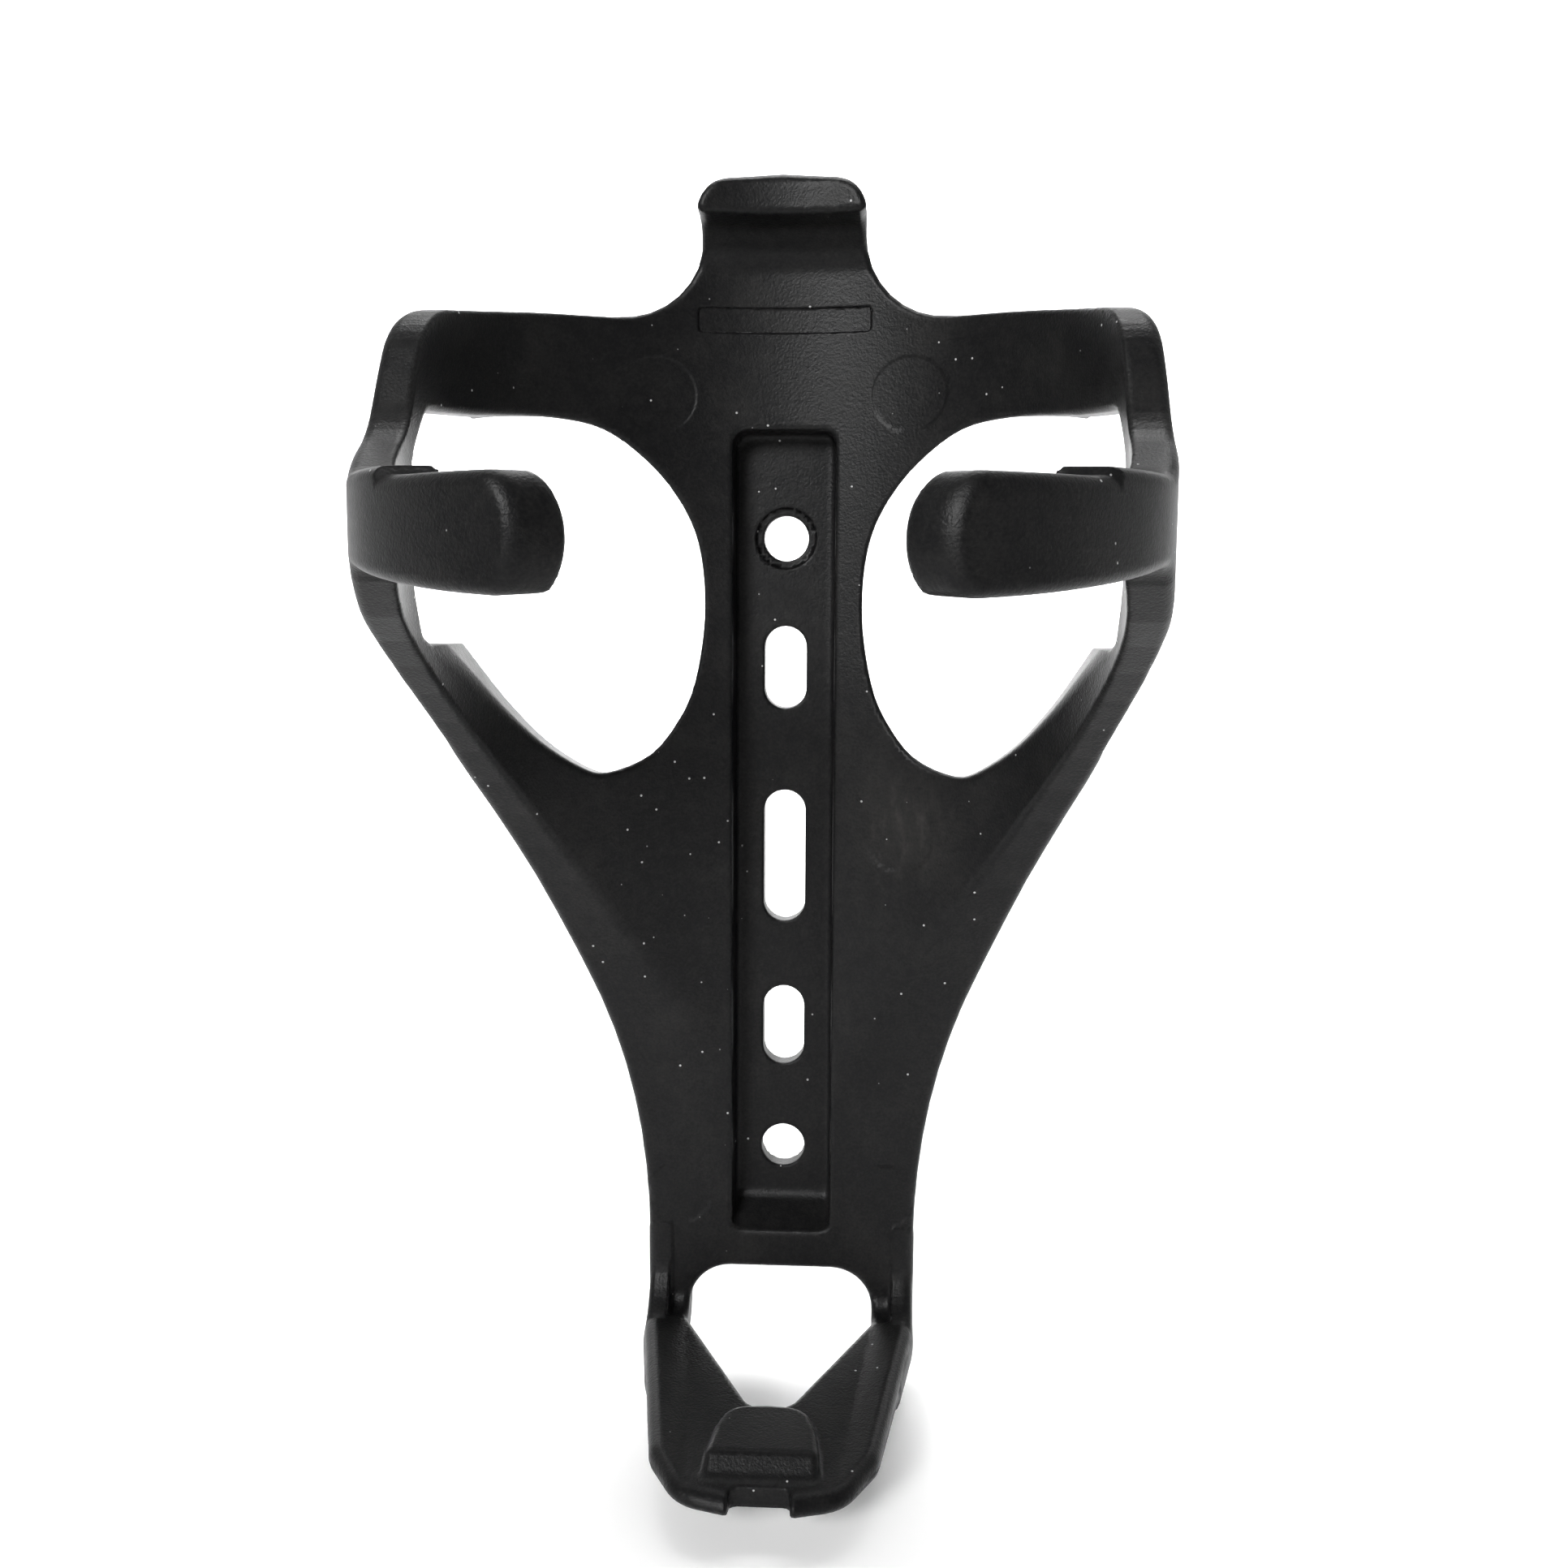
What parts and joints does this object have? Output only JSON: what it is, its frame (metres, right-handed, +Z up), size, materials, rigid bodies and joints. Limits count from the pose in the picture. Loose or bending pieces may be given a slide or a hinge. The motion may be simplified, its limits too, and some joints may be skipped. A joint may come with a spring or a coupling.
{
  "type": "water bottle cage",
  "caption": "Moulded bicycle bottle cage with side loops, front fingers, a top tab, a bolt channel and a foot shelf.",
  "frame": {"origin": "midway between the two main bolt positions, on the rear face that meets the bicycle frame", "axes": "+Y out of the rear face towards the bicycle frame, +Z up along the bottle, +X to the right seen from the bottle side"},
  "size_m": [0.0826, 0.0836, 0.1514],
  "materials": {
    "nylon": "fine moulded grain, satin matte black"
  },
  "bodies": {
    "back_frame": {"channel_ramp": "nylon", "channel_wall_bottom": "nylon", "channel_wall_left": "nylon", "channel_wall_right": "nylon", "channel_wall_top": "nylon", "crown_plate": "nylon", "lower_plate_left": "nylon", "lower_plate_right": "nylon", "mounting_floor": "nylon", "neck": "nylon", "shelf_front": "nylon", "shelf_side_left": "nylon", "shelf_side_right": "nylon", "spine_flank_left": "nylon", "spine_flank_right": "nylon", "spine_web_left": "nylon", "spine_web_right": "nylon", "stop_pad": "nylon"},
    "left_loop": {"lower_strut_left": "nylon", "side_strap_left": "nylon", "upper_arm_left": "nylon"},
    "right_loop": {"lower_strut_right": "nylon", "side_strap_right": "nylon", "upper_arm_right": "nylon"},
    "left_finger": {"finger_left": "nylon"},
    "right_finger": {"finger_right": "nylon"},
    "tab": {"retention_tab": "nylon"}
  },
  "joints": [
    {"name": "left_loop_spread", "type": "hinge", "parent": "back_frame", "child": "left_loop", "pos_m": [-0.0195, -0.0065, 0.018], "axis": [0, 0, -1], "range_deg": [0, 3], "stiffness_Nm_per_rad": 12},
    {"name": "right_loop_spread", "type": "hinge", "parent": "back_frame", "child": "right_loop", "pos_m": [0.0195, -0.0065, 0.018], "axis": [0, 0, 1], "range_deg": [0, 3], "stiffness_Nm_per_rad": 12},
    {"name": "left_finger_flex", "type": "hinge", "parent": "left_loop", "child": "left_finger", "pos_m": [-0.0395, -0.057, 0.0316], "axis": [0, 0, -1], "range_deg": [0, 5], "stiffness_Nm_per_rad": 5},
    {"name": "right_finger_flex", "type": "hinge", "parent": "right_loop", "child": "right_finger", "pos_m": [0.0395, -0.057, 0.0316], "axis": [0, 0, 1], "range_deg": [0, 5], "stiffness_Nm_per_rad": 5},
    {"name": "tab_flex", "type": "hinge", "parent": "back_frame", "child": "tab", "pos_m": [0, -0.0031, 0.0635], "axis": [-1, 0, 0], "range_deg": [0, 6], "stiffness_Nm_per_rad": 4}
  ]
}
